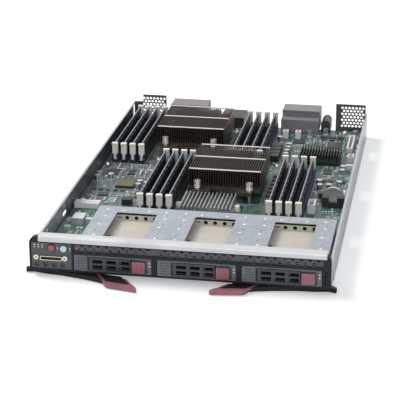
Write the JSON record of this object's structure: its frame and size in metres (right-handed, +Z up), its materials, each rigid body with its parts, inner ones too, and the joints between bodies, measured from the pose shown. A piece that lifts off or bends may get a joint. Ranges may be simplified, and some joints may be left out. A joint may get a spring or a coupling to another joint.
{
  "type": "blade server",
  "caption": "Flat full-height server blade without its cover: open tray, front panel with drive carriers and ejector handles, system board, memory, heatsinks and midplane connectors.",
  "frame": {"origin": "centre of the tray's bottom face, midway between the side walls and between the front face and the rear plates", "axes": "+X to the right seen from the front, -Y to the front panel, +Z up out of the open tray"},
  "size_m": [0.2987, 0.505, 0.041],
  "materials": {
    "galvanised_tray": "galvanised, satin",
    "galvanised_cage": "bright galvanised, satin",
    "dark_sheet": "dark coating, satin",
    "bezel_black": "fine texture",
    "silver_lip": "satin",
    "panel_dark": "fine texture",
    "button_maroon": "semi-gloss",
    "button_blue": "semi-gloss",
    "connector_shell": "plated",
    "jackscrew_metal": "plated",
    "board_green": "solder mask",
    "board_teal": "solder mask",
    "board_parts": "plated",
    "receptacle_black": "satin",
    "carrier_grey": "fine texture",
    "lever_grey": "fine texture",
    "blank_cream": "satin",
    "handle_black": "satin",
    "trigger_maroon": "satin",
    "pin_steel": "turned",
    "standoff_brass": "turned",
    "screw_steel": "plated",
    "socket_steel": "stamped",
    "copper_sink": "dull copper",
    "aluminium_sink": "satin",
    "push_pin_white": "satin",
    "green_sink": "anodised, matte",
    "socket_blue": "satin",
    "socket_black": "satin",
    "module_board": "solder mask with black chips",
    "latch_cream": "satin",
    "holder_black": "satin",
    "cell_metal": "polished",
    "midplane_grey": "satin",
    "chip_black": "moulded",
    "can_aluminium": "satin",
    "header_white": "satin"
  },
  "bodies": {
    "blade": {"chassis_tray": "galvanised_tray", "rear_vent_plates": "dark_sheet", "front_bezel": "bezel_black", "front_grille": "dark_sheet", "top_lip": "silver_lip", "control_panel": "panel_dark", "console_connector": "connector_shell", "jackscrews": "jackscrew_metal", "io_board": "board_green", "io_board_parts": "board_parts", "drive_cage": "galvanised_cage", "drive_backplane": "board_green", "drive_receptacles": "receptacle_black", "handle_pins": "pin_steel", "motherboard": "board_teal", "board_standoffs": "standoff_brass", "board_screws": "screw_steel", "cpu_sockets": "socket_steel", "cpu_heatsinks": "copper_sink", "heatsink_bars": "screw_steel", "heatsink_screws": "screw_steel", "chipset_heatsink": "aluminium_sink", "chipset_pins": "push_pin_white", "io_hub_heatsink": "green_sink", "dimm_sockets_blue": "socket_blue", "dimm_sockets_black": "socket_black", "memory_modules": "module_board", "battery_holder": "holder_black", "coin_cell": "cell_metal", "midplane_connectors": "midplane_grey", "rear_blocks": "receptacle_black", "board_chips": "chip_black", "capacitors": "can_aluminium", "board_connectors": "header_white"},
    "power_button": {"power_button": "button_maroon"},
    "console_button": {"console_button": "button_blue"},
    "handle_left": {"handle_left": "handle_black"},
    "handle_right": {"handle_right": "handle_black"},
    "trigger_left": {"trigger_left": "trigger_maroon"},
    "trigger_right": {"trigger_right": "trigger_maroon"},
    "carrier_1": {"carrier_1": "carrier_grey", "drive_blank_1": "blank_cream"},
    "carrier_lever_1": {"carrier_lever_1": "lever_grey"},
    "carrier_button_1": {"carrier_button_1": "button_maroon"},
    "carrier_2": {"carrier_2": "carrier_grey", "drive_blank_2": "blank_cream"},
    "carrier_lever_2": {"carrier_lever_2": "lever_grey"},
    "carrier_button_2": {"carrier_button_2": "button_maroon"},
    "carrier_3": {"carrier_3": "carrier_grey", "drive_blank_3": "blank_cream"},
    "carrier_lever_3": {"carrier_lever_3": "lever_grey"},
    "carrier_button_3": {"carrier_button_3": "button_maroon"},
    "latches_a_front": {"latches_a_front": "latch_cream"},
    "latches_a_rear": {"latches_a_rear": "latch_cream"},
    "latches_b_front": {"latches_b_front": "latch_cream"},
    "latches_b_rear": {"latches_b_rear": "latch_cream"},
    "latches_c_front": {"latches_c_front": "latch_cream"},
    "latches_c_rear": {"latches_c_rear": "latch_cream"},
    "latches_d_front": {"latches_d_front": "latch_cream"},
    "latches_d_rear": {"latches_d_rear": "latch_cream"}
  },
  "joints": [
    {"name": "handle_left_swing", "type": "hinge", "parent": "blade", "child": "handle_left", "pos_m": [-0.1343, -0.218, 0.0027], "axis": [0, 0, -1], "range_deg": [-11.5, 62]},
    {"name": "handle_right_swing", "type": "hinge", "parent": "blade", "child": "handle_right", "pos_m": [0.1343, -0.218, 0.0027], "axis": [0, 0, 1], "range_deg": [-7.6, 65]},
    {"name": "trigger_left_squeeze", "type": "slide", "parent": "handle_left", "child": "trigger_left", "axis": [-0.5642, 0.8256, 0], "range_m": [0, 0.003], "stiffness_N_per_m": 500},
    {"name": "trigger_right_squeeze", "type": "slide", "parent": "handle_right", "child": "trigger_right", "axis": [0.619, 0.7854, 0], "range_m": [0, 0.003], "stiffness_N_per_m": 500},
    {"name": "carrier_1_slide", "type": "slide", "parent": "blade", "child": "carrier_1", "axis": [0, -1, 0], "range_m": [0, 0.1]},
    {"name": "carrier_lever_1_swing", "type": "hinge", "parent": "carrier_1", "child": "carrier_lever_1", "pos_m": [-0.0851, -0.2287, 0.0151], "axis": [0, 0, -1], "range_deg": [0, 75]},
    {"name": "carrier_button_1_press", "type": "slide", "parent": "carrier_1", "child": "carrier_button_1", "axis": [0, 1, 0], "range_m": [0, 0.0015], "stiffness_N_per_m": 400},
    {"name": "carrier_2_slide", "type": "slide", "parent": "blade", "child": "carrier_2", "axis": [0, -1, 0], "range_m": [0, 0.1]},
    {"name": "carrier_lever_2_swing", "type": "hinge", "parent": "carrier_2", "child": "carrier_lever_2", "pos_m": [-0.0047, -0.2287, 0.0151], "axis": [0, 0, -1], "range_deg": [0, 75]},
    {"name": "carrier_button_2_press", "type": "slide", "parent": "carrier_2", "child": "carrier_button_2", "axis": [0, 1, 0], "range_m": [0, 0.0015], "stiffness_N_per_m": 400},
    {"name": "carrier_3_slide", "type": "slide", "parent": "blade", "child": "carrier_3", "axis": [0, -1, 0], "range_m": [0, 0.1]},
    {"name": "carrier_lever_3_swing", "type": "hinge", "parent": "carrier_3", "child": "carrier_lever_3", "pos_m": [0.0757, -0.2287, 0.0151], "axis": [0, 0, -1], "range_deg": [0, 75]},
    {"name": "carrier_button_3_press", "type": "slide", "parent": "carrier_3", "child": "carrier_button_3", "axis": [0, 1, 0], "range_m": [0, 0.0015], "stiffness_N_per_m": 400},
    {"name": "power_button_press", "type": "slide", "parent": "blade", "child": "power_button", "axis": [0, 1, 0], "range_m": [0, 0.0012], "stiffness_N_per_m": 300},
    {"name": "console_button_press", "type": "slide", "parent": "blade", "child": "console_button", "axis": [0, 1, 0], "range_m": [0, 0.0012], "stiffness_N_per_m": 300},
    {"name": "latches_a_front_tilt", "type": "hinge", "parent": "blade", "child": "latches_a_front", "pos_m": [-0.05356, -0.079, 0.0125], "axis": [1, 0, 0], "range_deg": [0, 18]},
    {"name": "latches_a_rear_tilt", "type": "hinge", "parent": "blade", "child": "latches_a_rear", "pos_m": [-0.05356, 0.06035, 0.0125], "axis": [-1, 0, 0], "range_deg": [0, 18]},
    {"name": "latches_b_front_tilt", "type": "hinge", "parent": "blade", "child": "latches_b_front", "pos_m": [0.08094, -0.079, 0.0125], "axis": [1, 0, 0], "range_deg": [0, 18]},
    {"name": "latches_b_rear_tilt", "type": "hinge", "parent": "blade", "child": "latches_b_rear", "pos_m": [0.08094, 0.06035, 0.0125], "axis": [-1, 0, 0], "range_deg": [0, 18]},
    {"name": "latches_c_front_tilt", "type": "hinge", "parent": "blade", "child": "latches_c_front", "pos_m": [-0.11506, 0.0735, 0.0125], "axis": [1, 0, 0], "range_deg": [0, 18]},
    {"name": "latches_c_rear_tilt", "type": "hinge", "parent": "blade", "child": "latches_c_rear", "pos_m": [-0.11506, 0.21285, 0.0125], "axis": [-1, 0, 0], "range_deg": [0, 18]},
    {"name": "latches_d_front_tilt", "type": "hinge", "parent": "blade", "child": "latches_d_front", "pos_m": [0.01974, 0.0735, 0.0125], "axis": [1, 0, 0], "range_deg": [0, 18]},
    {"name": "latches_d_rear_tilt", "type": "hinge", "parent": "blade", "child": "latches_d_rear", "pos_m": [0.01974, 0.21285, 0.0125], "axis": [-1, 0, 0], "range_deg": [0, 18]}
  ]
}
